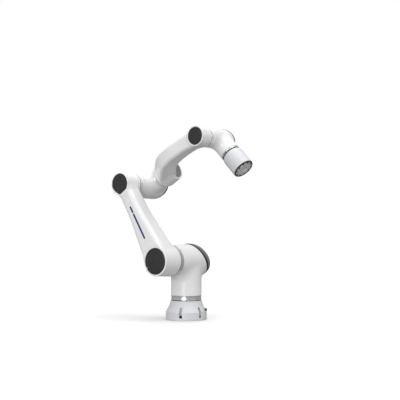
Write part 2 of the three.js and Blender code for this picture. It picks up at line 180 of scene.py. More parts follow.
def surface(field, low, high, step):
    """Points, quads and normals of the surface where field is 0, by surface nets.

    One point goes in each grid cell that the surface crosses, and is then pulled onto it.
    """
    axes = [np.arange(l, h + step, step) for l, h in zip(low, high)]
    grid = np.stack(np.meshgrid(*axes, indexing="ij"), -1)
    value = field(grid)
    inside = value < 0
    shape = np.array(value.shape) - 1
    count = sum(
        inside[i : i + shape[0], j : j + shape[1], k : k + shape[2]].astype(int)
        for i, j, k in CORNERS
    )
    crossed = (count > 0) & (count < len(CORNERS))
    number = np.full(tuple(shape), -1)
    number[crossed] = np.arange(crossed.sum())
    cells = np.argwhere(crossed)
    total = np.zeros((len(cells), 3))
    hits = np.zeros(len(cells))
    for a, b in EDGES:
        va = value[tuple((cells + CORNERS[a]).T)]
        vb = value[tuple((cells + CORNERS[b]).T)]
        cut = (va < 0) != (vb < 0)
        t = (va[cut] / (va[cut] - vb[cut]))[:, None]
        total[cut] += CORNERS[a] + t * (CORNERS[b] - CORNERS[a])
        hits[cut] += 1
    points = (cells + total / hits[:, None]) * step + np.array(low, float)
    quads = []
    for axis in range(3):
        u, v = (axis + 1) % 3, (axis + 2) % 3
        ahead = np.roll(inside, -1, axis)
        spots = np.argwhere(inside != ahead)
        keep = (spots[:, axis] < shape[axis]) & (spots[:, u] > 0) & (spots[:, v] > 0)
        keep &= (spots[:, u] < shape[u]) & (spots[:, v] < shape[v])
        spots = spots[keep]
        leaving = inside[tuple(spots.T)]
        ring = []
        for du, dv in ((-1, -1), (0, -1), (0, 0), (-1, 0)):
            cell = spots.copy()
            cell[:, u] += du
            cell[:, v] += dv
            ring.append(number[tuple(cell.T)])
        ring = np.stack(ring, 1)
        ring[~leaving] = ring[~leaving][:, ::-1]
        quads.append(ring)
    quads = np.concatenate(quads)

    def slope(p):
        return np.stack(
            [(field(p + NUDGE * e) - field(p - NUDGE * e)) / (2 * NUDGE) for e in np.eye(3)], -1
        )

    longest = LONGEST_PULL * step
    for _ in range(PULLS):
        gradient = slope(points)
        steepness = np.maximum((gradient**2).sum(-1, keepdims=True), 0.05)
        move = -field(points)[:, None] * gradient / steepness
        points = points + np.clip(move, -longest, longest)
    normals = slope(points)
    normals /= np.maximum(np.linalg.norm(normals, axis=-1, keepdims=True), 1e-6)
    return points, quads, normals


# ------------------------------------------------------------------ objects
SHARP_ANGLE = math.radians(32)
TINY = 0.05  # radius of the small ring that closes a dome or disc in its middle


def add_piece(name, points, faces, place, body, slot, material, replaces=(), normals=None):
    """One visible piece: a mesh made in its link's frame that rides on a CAD body."""
    turn = np.array(place.to_3x3())
    points = np.asarray(points, float) @ turn.T * MM + np.array(place.translation)
    mesh = bpy.data.meshes.new(name)
    mesh.from_pydata(points.tolist(), [], [list(map(int, f)) for f in faces])
    mesh.validate()
    mesh.shade_smooth()
    if normals is None:
        mesh.set_sharp_from_angle(angle=SHARP_ANGLE)
    else:
        mesh.normals_split_custom_set_from_vertices((normals @ turn.T).tolist())
    obj = bpy.data.objects.new(name, mesh)
    bpy.context.collection.objects.link(obj)
    obj.data.materials.append(material)
    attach(obj, body)
    if replaces:
        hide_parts(*replaces)


def add_field(name, field, low, high, step, **settings):
    """A piece whose surface is where `field` is 0."""
    points, quads, normals = surface(field, low, high, step)
    add_piece(name, points, quads, normals=normals, **settings)


def rounded(profile, radius=0.8, closed=True, steps=4):
    """The profile with each corner turned into an arc."""
    most = 0.45  # of a side
    points = [Vector(p) for p in profile]
    count = len(points)
    out = []
    for k, here in enumerate(points):
        if not closed and k in (0, count - 1):
            out.append(tuple(here))
            continue
        before = points[k - 1] - here
        after = points[(k + 1) % count] - here
        reach = min(radius, most * before.length, most * after.length)
        start = here + before.normalized() * reach
        end = here + after.normalized() * reach
        for i in range(steps + 1):
            t = i / steps
            out.append(tuple((1 - t) ** 2 * start + 2 * t * (1 - t) * here + t**2 * end))
    return out


def loft(rings, closed):
    """Faces between rings of points. A closed loft is a tube bent into a ring."""
    count = len(rings[0])
    points = np.concatenate(rings)
    faces = []
    for k in range(len(rings) if closed else len(rings) - 1):
        here, there = k * count, ((k + 1) % len(rings)) * count
        for i in range(count):
            j = (i + 1) % count
            faces.append((here + i, here + j, there + j, there + i))
    if not closed:
        faces.append(tuple(range(count))[::-1])
        faces.append(tuple(len(points) - count + i for i in range(count)))
    return points, faces


def circle(radius, count=96):
    """Points round a circle."""
    turn = np.linspace(0, 2 * math.pi, count, endpoint=False)
    return np.stack([radius * np.cos(turn), radius * np.sin(turn)], -1)


def turned(profile, closed=True, count=96):
    """[radius, height] points turned about +Z, anticlockwise round the profile's outside."""
    rings = [np.c_[circle(max(r, 0.02), count), np.full(count, h)] for r, h in profile]
    return loft(rings, closed)


def along_barrel(points):
    """Turns points made along +Z so that they run along -Y."""
    x, y, z = np.asarray(points).T
    return np.stack([x, -z, y], -1)


def along_stem(points):
    """Turns points made along +Z so that they run along -Z."""
    x, y, z = np.asarray(points).T
    return np.stack([x, -y, -z], -1)


# ------------------------------------------------------------------ materials
COAT_ROUGHNESS = 0.12
RELIEF_DEPTH = 0.0004  # in metres
PATCH_EDGES = (0.3, 0.7)  # the noise values where the two colours are reached
SPECK_EDGES = (0.55, 0.75)  # where specks start and are full
SPECK_GREY = 0.5
MIX_FACTOR, MIX_FIRST, MIX_SECOND = 0, 6, 7  # sockets of a Mix node for colours
MIX_RESULT = 2


def material(name, colours, scale, roughness, bump=0.0, bump_scale=0.0, metal=0.0, coat=0.0,
             grain=(1, 1, 1), specks=0.0):
    """A painted, moulded or machined finish with uneven colour, gloss and texture."""
    made = bpy.data.materials.new(name)
    made.use_nodes = True
    nodes, links = made.node_tree.nodes, made.node_tree.links
    shader = nodes["Principled BSDF"]
    shader.inputs["Metallic"].default_value = metal
    shader.inputs["Coat Weight"].default_value = coat
    shader.inputs["Coat Roughness"].default_value = COAT_ROUGHNESS
    place = nodes.new("ShaderNodeTexCoord")
    stretch = nodes.new("ShaderNodeMapping")
    stretch.inputs["Scale"].default_value = grain
    links.new(place.outputs["Object"], stretch.inputs["Vector"])

    def noise(size, detail):
        made_noise = nodes.new("ShaderNodeTexNoise")
        made_noise.inputs["Scale"].default_value = size
        made_noise.inputs["Detail"].default_value = detail
        links.new(stretch.outputs["Vector"], made_noise.inputs["Vector"])
        return made_noise

    patches = noise(scale, 5)
    ramp = nodes.new("ShaderNodeValToRGB")
    for stop, edge, tint in zip(ramp.color_ramp.elements, PATCH_EDGES, colours):
        stop.position = edge
        stop.color = (*tint, 1)
    links.new(patches.outputs["Fac"], ramp.inputs["Fac"])
    colour = ramp.outputs["Color"]
    if specks:
        dots = noise(bump_scale * 1.3, 2)
        fade = nodes.new("ShaderNodeMapRange")
        fade.inputs["From Min"].default_value = SPECK_EDGES[0]
        fade.inputs["From Max"].default_value = SPECK_EDGES[1]
        fade.inputs["To Max"].default_value = specks
        links.new(dots.outputs["Fac"], fade.inputs["Value"])
        mix = nodes.new("ShaderNodeMix")
        mix.data_type = "RGBA"
        mix.inputs[MIX_SECOND].default_value = (SPECK_GREY, SPECK_GREY, SPECK_GREY, 1)
        links.new(fade.outputs["Result"], mix.inputs[MIX_FACTOR])
        links.new(colour, mix.inputs[MIX_FIRST])
        colour = mix.outputs[MIX_RESULT]
    links.new(colour, shader.inputs["Base Color"])
    gloss = nodes.new("ShaderNodeMapRange")
    gloss.inputs["To Min"].default_value = roughness[0]
    gloss.inputs["To Max"].default_value = roughness[1]
    links.new(patches.outputs["Fac"], gloss.inputs["Value"])
    links.new(gloss.outputs["Result"], shader.inputs["Roughness"])
    if bump:
        texture = noise(bump_scale, 3)
        relief = nodes.new("ShaderNodeBump")
        relief.inputs["Strength"].default_value = bump
        relief.inputs["Distance"].default_value = RELIEF_DEPTH
        links.new(texture.outputs["Fac"], relief.inputs["Height"])
        links.new(relief.outputs["Normal"], shader.inputs["Normal"])
    return made


WHITE = material("white_paint", ((0.80, 0.80, 0.81), (0.86, 0.86, 0.865)), 9, (0.30, 0.42),
                 bump=0.06, bump_scale=900, coat=0.25)
# The same white paint made darker for the foot and the tool barrel: painted shade.
SHADED_WHITE = material("white_paint_painted_shade", ((0.64, 0.645, 0.67), (0.70, 0.705, 0.73)), 9, (0.34, 0.46),
                bump=0.06, bump_scale=900, coat=0.15)
BLACK = material("black_textured_plastic", ((0.010, 0.010, 0.011), (0.018, 0.018, 0.020)), 40,
                 (0.42, 0.6), bump=0.7, bump_scale=650, specks=0.12)
GREY = material("dark_grey_textured_plastic", ((0.15, 0.15, 0.155), (0.21, 0.21, 0.215)), 30,
                (0.5, 0.68), bump=0.8, bump_scale=650, specks=0.22)
RIM = material("black_rim", ((0.004, 0.004, 0.005), (0.008, 0.008, 0.009)), 60, (0.5, 0.65),
               bump=0.1, bump_scale=400)
SILVER = material("polished_ring", ((0.57, 0.575, 0.58), (0.63, 0.635, 0.64)), 60, (0.2, 0.28),
                  bump=0.05, bump_scale=500, metal=0.75)
# A lighter copy of the polished ring: painted reflection of the bright studio, for joints 3, 4 and
# 5.
RING_PAINTED_REFLECTION = material("polished_ring_painted_reflection", ((0.82, 0.825, 0.83), (0.90, 0.905, 0.91)), 60, (0.22, 0.3),
                  bump=0.05, bump_scale=500, metal=0.6)
STEEL = material("machined_steel", ((0.36, 0.365, 0.37), (0.5, 0.505, 0.51)), 45, (0.28, 0.42),
                 bump=0.15, bump_scale=600, metal=1.0, grain=(1, 1, 6))
SATIN = material("satin_flange", ((0.62, 0.625, 0.63), (0.80, 0.805, 0.81)), 90, (0.3, 0.45),
                 bump=0.2, bump_scale=700, metal=0.35, grain=(1, 1, 4), specks=0.3)
RUBBER = material("seal_rubber", ((0.012, 0.012, 0.012), (0.024, 0.024, 0.024)), 80, (0.6, 0.8),
                  bump=0.3, bump_scale=500)
COPPER = material("motor_winding", ((0.42, 0.17, 0.07), (0.62, 0.29, 0.13)), 120, (0.3, 0.5),
                  bump=0.5, bump_scale=300, metal=0.8, grain=(1, 1, 9))
BOARD = material("circuit_board", ((0.01, 0.10, 0.045), (0.02, 0.17, 0.07)), 150, (0.35, 0.55),
                 bump=0.3, bump_scale=260)
BLUE = material("blue_stripe", ((0.012, 0.022, 0.11), (0.016, 0.03, 0.14)), 60, (0.3, 0.42),
                bump=0.05, bump_scale=600)


# ------------------------------------------------------------------ base
FOOT_RADIUS = 85.0
FOOT_HEIGHT = 32.5  # of the upright band below the cone
# The cone's outline above the band: [height, radius].
FOOT_PROFILE = [(FOOT_HEIGHT, FOOT_RADIUS), (43, 79.5), (53, 74), (64, 69.2), (74, 66), (79, 64.8)]
FOOT_SLOPE = 0.86  # turns a radial distance into one across the cone's wall
FOOT_TOP = SHOULDER.z / MM - MODULES["shoulder"]["stem_reach"] - JOINT_GAP
FOOT_EDGE = 1.6
FOOT_HOLLOW_HEIGHTS = [36, 50, 66, 70]
FOOT_HOLLOW_RADII = [57, 57, 56, 48]
HOLLOW_ABOVE = 9.0  # how far the hollow is cut past the foot's top, so that it is open
POCKETS = 6
POCKET_TURNS = [math.radians(-7 + k * 360 / POCKETS) for k in range(POCKETS)]
POCKET_HALF_WIDTH = 6.0
POCKET_FLOOR = 10.0
POCKET_ARCH = 46.0  # where the pocket's round top starts
POCKET_BACK = 65.0  # how far the pocket's back wall is from the axis
BOLT_REACH = 76.0  # radius of the bolt circle
BOLT_HOLE = 4.5
# A bolt head with its socket, and the connector's collar and tip: [radius, height] points.
BOLT_HEAD = [(0, 10.2), (5, 10.2), (5, 20), (2.6, 20), (2.6, 16), (0, 16)]
CONNECTOR_COLLAR = [(3.4, 62), (6.2, 62), (6.2, 81), (3.4, 81)]
CONNECTOR_TIP = [(0, 70), (3.2, 70), (3.2, 81.3), (5, 81.3), (5, 88), (3.4, 88), (3.4, 84), (0, 84)]
CONNECTOR_TURN = math.radians(23)
CONNECTOR_HEIGHT = 42.0
SOCKET_RADIUS = 6.6
SOCKET_START = 40.0


def foot_field(p):
    """The cast foot: an upright band, a cone, six bolt pockets and the connector's hole."""
    x, y, z = p[..., 0], p[..., 1], p[..., 2]
    reach = np.hypot(x, y)
    radius = np.where(z < FOOT_HEIGHT, FOOT_RADIUS, curve_through(FOOT_PROFILE, z))
    body = common((reach - radius) * FOOT_SLOPE, z - FOOT_TOP, FOOT_EDGE)
    body = common(body, -z, FOOT_EDGE)
    hollow_radius = np.interp(z, FOOT_HOLLOW_HEIGHTS, FOOT_HOLLOW_RADII)
    hollow = common(reach - hollow_radius, z - FOOT_TOP - HOLLOW_ABOVE)
    body = common(body, -hollow, 1.0)
    for turn in POCKET_TURNS:
        out, across = polar(x, y, turn)
        slot = np.hypot(across, np.maximum(z - POCKET_ARCH, 0)) - POCKET_HALF_WIDTH
        slot = np.maximum(slot, POCKET_FLOOR - z)
        pocket = np.maximum(slot, POCKET_BACK - out)
        hole = np.hypot(across, out - BOLT_REACH) - BOLT_HOLE
        body = common(body, -pocket, FOOT_EDGE)
        body = common(body, -hole, 0.6)
    out, across = polar(x, y, CONNECTOR_TURN)
    socket = np.hypot(across, z - CONNECTOR_HEIGHT) - SOCKET_RADIUS
    return common(body, -np.maximum(socket, SOCKET_START - out), 0.8)


def make_base():
    # The foot wears the darker copy of the white paint, as painted shade.
    add_field(
        "base_housing_shell", foot_field, (-88, -88, -3), (88, 88, 84), LINK_STEP,
        place=BASE_FRAME, body="base", slot="white_paint", material=SHADED_WHITE,
        replaces=["base_housing"],
    )
    settings = dict(place=BASE_FRAME, body="base", slot="dark_trim")
    for name, profile, closed, finish, nodes in (
        ("base_connector_collar", CONNECTOR_COLLAR, True, STEEL, ["base_connector"]),
        ("base_connector_tip", CONNECTOR_TIP, False, RIM, []),
    ):
        points, faces = turned(rounded(profile, 0.6, closed=closed), closed=closed, count=40)
        x, y, z = points.T
        out = z * math.cos(CONNECTOR_TURN) - y * math.sin(CONNECTOR_TURN)
        beside = z * math.sin(CONNECTOR_TURN) + y * math.cos(CONNECTOR_TURN)
        points = np.stack([out, beside, CONNECTOR_HEIGHT - x], -1)
        add_piece(name, points, faces, material=finish, replaces=nodes, **settings)
    # Mounting bolt heads in the six pockets, near-black; their black also paints the shade deep in
    # each pocket.
    points, faces = turned(rounded(BOLT_HEAD, 0.6, closed=False), closed=False, count=32)
    for k, turn in enumerate(POCKET_TURNS):
        spot = points + (BOLT_REACH * math.cos(turn), BOLT_REACH * math.sin(turn), 0)
        add_piece(f"foot_bolt_{k + 1}", spot, faces, material=RIM, **settings)


# ------------------------------------------------------------------ joint modules
SWELL_PART = 0.75  # of the barrel's reach, over which it widens to the body
DOME_LEAN = math.radians(14)  # from the barrel's axis, towards the side away from the stem
DOME_FULLNESS = 0.55  # powers that make the dome's sides full and its top flat
DOME_RISE = 1.2
DOME_INSET = 2.6  # of the dome's outside from the body's radius, and of its inside
DOME_INNER_INSET = 6.6
DOME_WALL = 3.5
RIM_WIDTH = 6.0
INSET = 0.6  # how far a rim or ring lies below its housing
# joints whose rings get the lighter copy of the ring material: painted reflection
PAINTED_REFLECTION_RINGS = ("joint_3", "joint_4", "joint_5")
RING_GROOVE = 0.7  # depth of the step round a polished ring
SEAL_INSET = 1.6
SEAL_PAST = 1.7  # how far a seal fills the joint's gap


def module_outside(size, p):
    """The barrel and stem of a module, joined by a fillet and not yet cut to length."""
    x, y, z = p[..., 0], p[..., 1], p[..., 2]
    start = size["barrel_reach"] - size["barrel_ring"]
    swell = ease((start + y) / (SWELL_PART * start))
    radius = size["barrel"] + (size["body"] - size["barrel"]) * swell
    from_barrel = np.hypot(x, z)
    above = np.maximum(z, 0)
    from_stem = np.sqrt(x**2 + y**2 + above**2)
    barrel = from_barrel - radius
    stem = from_stem - size["stem"]
    alike = (x**2 + above**2) / np.maximum(from_barrel * from_stem, 1)
    blend = size["fillet"] * np.clip(1 - alike**2, 0, 1)
    return union(barrel, stem, blend)


def module_field(size):
    """The field of a module's housing: its outside cut to length, less its hollow."""
    start = size["barrel_reach"] - size["barrel_ring"] - GAP
    foot = size["stem_reach"] - size["stem_ring"] - GAP
    tilt = math.radians(size["cover_tilt"])

    def field(p):
        y, z = p[..., 1], p[..., 2]
        outside = module_outside(size, p)
        body = common(outside, -y - start)
        body = common(body, -z - foot)
        body = common(body, (y - size["cover_offset"]) * math.cos(tilt) + z * math.sin(tilt))
        return common(body, -(outside + WALL), 1.0)

    return field


def cover_ring(size, radius, lift, low=0.0, count=128):
    """The barrel's tilted section at `radius`, `lift` in front of the housing's cut.

    Its lowest point is pulled `low` further out along the barrel.
    """
    tilt = math.radians(size["cover_tilt"])
    x, z = circle(radius, count).T
    y = size["cover_offset"] - z * math.tan(tilt) + low * (1 - z / size["body"]) / 2
    return np.stack([x, y + lift * math.cos(tilt), z + lift * math.sin(tilt)], -1)


def dome_profile(radius, height, levels=26):
    """[radius, height] points of a full, flat-topped dome, from its foot to its middle."""
    turns = [k / levels * math.pi / 2 for k in range(levels + 1)]
    return [
        (radius * abs(math.cos(t)) ** DOME_FULLNESS, height * math.sin(t) ** DOME_RISE)
        for t in turns
    ]


def make_cover(name, size):
    """The black rim on the housing's tilted cut, and the hollow grey dome on the rim."""
    body = size["body"]
    inner, outer = body - RIM_WIDTH, body - INSET
    top = GAP + size["rim"]
    rim = rounded([(inner, GAP), (outer, GAP), (outer, top), (inner, top)], 1.2)
    pull = size["rim_low"] / size["rim"]
    rings = [cover_ring(size, radius, lift, pull * (lift - GAP)) for radius, lift in rim]
    points, faces = loft(rings, closed=True)
    settings = dict(place=size["frame"], body=name)
    add_piece(name + "_cover_trim", points, faces, slot="dark_trim", material=RIM,
              replaces=[name + "_cover_rim"], **settings)
    rise = np.array((0, math.cos(DOME_LEAN), math.sin(DOME_LEAN)))
    outside = dome_profile(body - DOME_INSET, size["dome"])
    inside = dome_profile(body - DOME_INNER_INSET, size["dome"] - DOME_WALL)[::-1]
    rings = [
        cover_ring(size, max(radius, TINY), top + GAP, size["rim_low"]) + height * rise
        for radius, height in outside + inside
    ]
    points, faces = loft(rings, closed=True)
    add_piece(name + "_cover_dome", points, faces, slot="dark_cover", material=GREY,
              replaces=[name + "_cover"], **settings)


def make_joint(joint, body, place, turn, radius, reach, width):
    """The polished ring beside a joint line, and the dark seal in the line. Joints 3, 4 and 5 get a
    lighter copy of the ring, a painted reflection.
    """
    polish = RING_PAINTED_REFLECTION if joint in PAINTED_REFLECTION_RINGS else SILVER
    inner, outer = radius - WALL, radius - INSET
    groove = outer - RING_GROOVE
    low = reach - width + 0.2
    high = reach - 0.8
    ring = [(inner, low), (outer, low), (outer, low + 1.6), (groove, low + 2.4),
            (groove, high - 1.8), (outer, high - 1), (outer, high), (inner, high)]
    points, faces = turned(rounded(ring, 0.5), count=144)
    add_piece(joint + "_polished_ring", turn(points), faces, place, body, "polished_ring", polish,
              replaces=[joint + "_ring"])
    back, lip = radius - 9, radius - SEAL_INSET
    seal = [(back, high + GAP), (lip, high + GAP), (lip, reach + SEAL_PAST),
            (back, reach + SEAL_PAST)]
    points, faces = turned(rounded(seal, 0.4), count=96)
    add_piece(joint + "_lip_seal", turn(points), faces, place, body, "rubber_seal", RUBBER,
              replaces=[joint + "_seal"])


def make_module(name, stem_joint, barrel_joint):
    """One module's housing and cover, and the rings and seals of its two joints."""
    size = MODULES[name]
    reach = size["body"] + 6  # half the side of the box that the housing is made in
    side = size["cover_offset"] + reach * math.tan(math.radians(size["cover_tilt"]))
    low = (-reach, -size["barrel_reach"], -size["stem_reach"])
    high = (reach, side, reach)
    add_field(
        name + "_housing_shell", module_field(size), low, high, size["step"],
        place=size["frame"], body=name, slot="white_paint", material=WHITE,
        replaces=[name + "_housing"],
    )
    make_cover(name, size)
    make_joint(stem_joint, name, size["frame"], along_stem, size["stem"], size["stem_reach"],
               size["stem_ring"])
    make_joint(barrel_joint, name, size["frame"], along_barrel, size["barrel"],
               size["barrel_reach"], size["barrel_ring"])


# ------------------------------------------------------------------ caps
NOTCH_TURN = math.radians(57)  # from straight down towards -X, seen from the -Y side
NOTCH_HALF = math.radians(3.2)
NOTCH_DEPTH = 4.2
POINTED = 0.9  # how far out a pointed cap's two flats are, as a fraction of its radius
POINTED_LEANS = [math.radians(lean) for lean in (-31, 35)]  # of the flats, from straight down
CAP_BACK = 5.0  # how deep a cap reaches into its recess
# A cap's bevel and stepped edge: [distance in from the edge, depth below the arm's face].
CAP_STEPS = [(6.2, CAP_BACK), (0, CAP_BACK), (0, 1.1), (0.3, 0.5), (1.0, 0.25), (5.0, 0.15),
             (5.5, 0.5), (6.0, 1.2), (7.2, 1.25), (7.8, 0.9), (9.0, 0.75)]
# Its slightly dished middle: [part of the radius, depth].
CAP_MIDDLE = [(0.5, 0.35), (0.8, 0.2), (1, 0.18)]


def down_turn(way):
    """The polar angle, in a link's X-Z plane, of the world's downward direction."""
    down = Vector((0, 0, -1))
    return math.atan2(down.dot(way), down.dot(SIDE.cross(way)))


def pointed(turn, way):
    """How far a pointed cap's edge is cut in from its circle, as a fraction of its radius."""
    down = down_turn(way)
    reach = 1.0
    for lean in POINTED_LEANS:
        facing = math.cos(turn - down - lean)
        if facing > 0.2:
            reach = min(reach, POINTED / facing)
    return reach


def make_cap(name, radius, face, height, way, place, body, replaced, tip=False, notch=True):
    """A cap on the arm's -Y side: a flush disc with a bevelled edge and a stepped centre."""
    count = 288
    turns = [2 * math.pi * k / count for k in range(count)]
    notch_at = down_turn(way) - NOTCH_TURN

    def ring(inset, depth):
        out = []
        for turn in turns:
            edge = radius * (pointed(turn, way) if tip else 1.0)
            off = (turn - notch_at + math.pi) % (2 * math.pi) - math.pi
            if notch and abs(off) < NOTCH_HALF:
                edge = min(edge, radius - NOTCH_DEPTH)
            reach = max(edge - inset, TINY)
            out.append((reach * math.cos(turn), -face + depth, height + reach * math.sin(turn)))
        return np.array(out)[::-1]

    steps = CAP_STEPS + [(radius * part, depth) for part, depth in CAP_MIDDLE]
    points, faces = loft([ring(*step) for step in steps], closed=False)
    add_piece(name, points, faces, place, body, "dark_trim", BLACK, replaces=[replaced])


# ------------------------------------------------------------------ upper arm
# Half the arm's width along it, and the lower collar's radius at distances to the -Y side.
ARM_HALF_WIDTHS = [(-60, 56), (0, 56), (50, 55), (130, 47), (200, 38.5), (290, 34.5), (380, 34.5),
                   (430, 34.5)]
LOW_COLLAR_RADII = [(100, 64.2), (130, 63.2), (165, 61.4), (200, 60.3)]
HIGH_COLLAR = 47.0
ARM_ROUND = 21.0  # rounding of the arm's long edges
ARM_WALL = 8.0
ARM_HOLLOW_ROUND = 12.0
FACE_SINK = 1.2  # how far the arm's long face lies below its caps' faces
LOW_BLEND, LOW_BLEND_LENGTH = 26, 60  # fillet between arm and lower collar
HIGH_BLEND, HIGH_BLEND_LENGTH = 16, 40
LOW_BORE, HIGH_BORE = 47.0, 36.0
BORE_DEPTH = 11.0  # of the material in front of the bores
TAB_DEPTH = 4.5  # of the tab that stands into a cap's notch
TAB_HALF_WIDTH = 2.6
STRIPES = (("long", 112, 226), ("short", 238, 262))  # name, start and end along the arm
STRIPE_HALF_WIDTH = 4.2
STRIPE_FOOT, STRIPE_TOP = -0.6, 0.25  # from the arm's long face


def arm_face(z):
    """How far out on the -Y side the arm's face is."""
    return SHOULDER_FACE - (SHOULDER_FACE - ELBOW_FACE) * np.clip(z / UPPER_ARM_LENGTH, 0, 1)


def pointed_field(x, z, radius, way):
    """The field of a pointed cap's outline."""
    field = np.hypot(x, z) - radius
    for lean in POINTED_LEANS:
        out, _ = polar(x, z, down_turn(way) + lean)
        field = np.maximum(field, out - POINTED * radius)
    return field


def notch_field(x, z, radius, way):
    """Positive in the small tab that stands into a cap's edge."""
    out, across = polar(x, z, down_turn(way) - NOTCH_TURN)
    return np.maximum(radius - TAB_DEPTH - out, np.abs(across) - TAB_HALF_WIDTH)


def upper_arm_field(p):
    """The upper arm's casting: a flat bar that widens to a collar at each joint."""
    x, y, z = p[..., 0], p[..., 1], p[..., 2]
    far = MODULES["shoulder"]["barrel_reach"] + JOINT_GAP
    far_high = MODULES["elbow"]["barrel_reach"] + JOINT_GAP
    face = arm_face(z)
    up = z - UPPER_ARM_LENGTH
    low_collar = common(np.hypot(x, z) - curve_through(LOW_COLLAR_RADII, -y), y + far)
    high_collar = common(np.hypot(x, up) - HIGH_COLLAR, y + far_high)
    back, front = far + 1, face - FACE_SINK
    middle, depth = (front + back) / 2, (front - back) / 2
    along = np.minimum(z, 0) + np.maximum(up, 0)
    beyond = np.hypot(x, along) - curve_through(ARM_HALF_WIDTHS, z)
    bar = rounded_box(beyond, np.abs(y + middle) - depth, ARM_ROUND)
    body = union(bar, low_collar, LOW_BLEND * ease(z / LOW_BLEND_LENGTH))
    body = union(body, high_collar, HIGH_BLEND * ease(-up / HIGH_BLEND_LENGTH))
    body = common(body, -y - face, 2.0)
    body = common(body, y + far_high, 0.5)
    body = np.where(z < 150, common(body, y + far, 0.5), body)
    floor = face - CAP_DEPTH + y
    low_cap = common(np.hypot(x, z) - SHOULDER_CAP - CAP_GAP, floor, 0.8)
    low_cap = np.maximum(low_cap, -notch_field(x, z, SHOULDER_CAP, UPPER_ARM_WAY))
    high_cap = common(pointed_field(x, up, ELBOW_CAP + CAP_GAP, UPPER_ARM_WAY), floor, 0.8)
    high_cap = np.maximum(high_cap, -notch_field(x, up, ELBOW_CAP, UPPER_ARM_WAY))
    low_bore = np.maximum(np.hypot(x, z) - LOW_BORE, -y - face + BORE_DEPTH)
    high_bore = np.maximum(np.hypot(x, up) - HIGH_BORE, -y - face + BORE_DEPTH)
    channel = rounded_box(
        beyond + ARM_WALL, np.abs(y + middle) - depth + ARM_WALL, ARM_HOLLOW_ROUND
    )
    hollow = np.minimum(np.minimum(low_bore, high_bore), channel)
    for cut in (low_cap, high_cap, hollow):
        body = common(body, -cut, 1.2)
    return body


def make_stripe(name, low, high, settings):
    """A plain bar with round ends, printed on the arm's long face."""
    half = STRIPE_HALF_WIDTH
    outline = []
    for end, turns in ((high, np.linspace(0, math.pi, 13)),
                       (low, np.linspace(math.pi, 2 * math.pi, 13))):
        outline += [(half * math.cos(turn), end + half * math.sin(turn)) for turn in turns]
    rings = [
        np.array([(x, -arm_face(z) + FACE_SINK - lift, z) for x, z in outline])
        for lift in (STRIPE_FOOT, STRIPE_TOP)
    ]
    points, faces = loft(rings, closed=False)
    add_piece("upper_arm_stripe_" + name, points, faces, slot="dark_trim", material=BLUE,
              **settings)


def make_upper_arm():
    settings = dict(place=UPPER_ARM_FRAME, body="upper_arm")
    add_field(
        "upper_arm_casting", upper_arm_field, (-68, -202, -68), (68, -100, UPPER_ARM_LENGTH + 52),
        LINK_STEP, slot="white_paint", material=WHITE, replaces=["upper_arm_shell"], **settings,
    )
    make_cap("upper_arm_shoulder_cover", SHOULDER_CAP, SHOULDER_FACE, 0, UPPER_ARM_WAY,
             replaced="upper_arm_shoulder_cap", **settings)
    make_cap("upper_arm_elbow_cover", ELBOW_CAP, ELBOW_FACE, UPPER_ARM_LENGTH, UPPER_ARM_WAY,
             replaced="upper_arm_elbow_cap", tip=True, **settings)
    for name, low, high in STRIPES:
        make_stripe(name, low, high, settings)


# ------------------------------------------------------------------ forearm
# The forearm's middle line beside its axis: [along the forearm, distance to the -Y side].
SWEEP = [(88, 0), (120, 16), (150, 48), (180, 78), (210, 100), (250, 112.5), (330, 118), (400, 123),
         (440, 126)]
# Along the forearm: half thickness, half height, and how far the bar's middle is above the axis.
THICKNESS = [(88, 40), (130, 39), (180, 37), (250, 37), (330, 34.5), (400, 31), (440, 30)]
HEIGHT = [(88, 40), (130, 39), (180, 35), (230, 31), (270, 29.7), (350, 29.7), (400, 33.5),
          (440, 36)]
RISE = [(88, 0), (140, 0), (190, 2.5), (250, 4.3), (350, 4.3), (400, 0), (440, -2.5)]
SWEEP_POINTS = 46
BAR_ROUND = 12.0  # rounding of the bar's long edges
BAR_WALL = 8.0
BAR_BLEND, WRIST_BLEND = 20, 12  # fillets between the bar and the two collars
COLLAR_BORE, WRIST_BORE = 36.0, 31.0
COVER_WALL = 2.0  # how far the bores reach behind the caps' faces
CHANNEL_END = 20.0  # how far before the wrist the cable channel ends
# The collar's end cap: [radius inwards from COLLAR_CAP, depth below COLLAR_END] points.
COLLAR_STEPS = [(0, 5), (0, 1.5), (1.5, 0.6), (5, 0.6), (6, 1.6), (7.5, 1.4)]


def forearm_bar(p, inset):
    """A bar swept along the middle line, its sides `inset` inwards."""
    u, y, z = -p[..., 0], p[..., 1], p[..., 2]
    places = np.linspace(SWEEP[0][0], SWEEP[-1][0], SWEEP_POINTS)
    line = np.stack([places, curve_through(SWEEP, places)], -1)
    best = np.full(z.shape, np.inf)
    where = np.zeros(z.shape)
    for (z0, y0), (z1, y1) in zip(line[:-1], line[1:]):
        dz, dy = z1 - z0, y1 - y0
        t = np.clip(((z - z0) * dz + (-y - y0) * dy) / (dz * dz + dy * dy), 0, 1)
        off = np.hypot(z - z0 - t * dz, -y - y0 - t * dy)
        near = off < best
        best = np.where(near, off, best)
        where = np.where(near, z0 + t * dz, where)
    thick = curve_through(THICKNESS, where)
    height = curve_through(HEIGHT, where)
    rise = curve_through(RISE, where)
    return rounded_box(best - thick + inset, np.abs(u - rise) - height + inset, BAR_ROUND - inset)


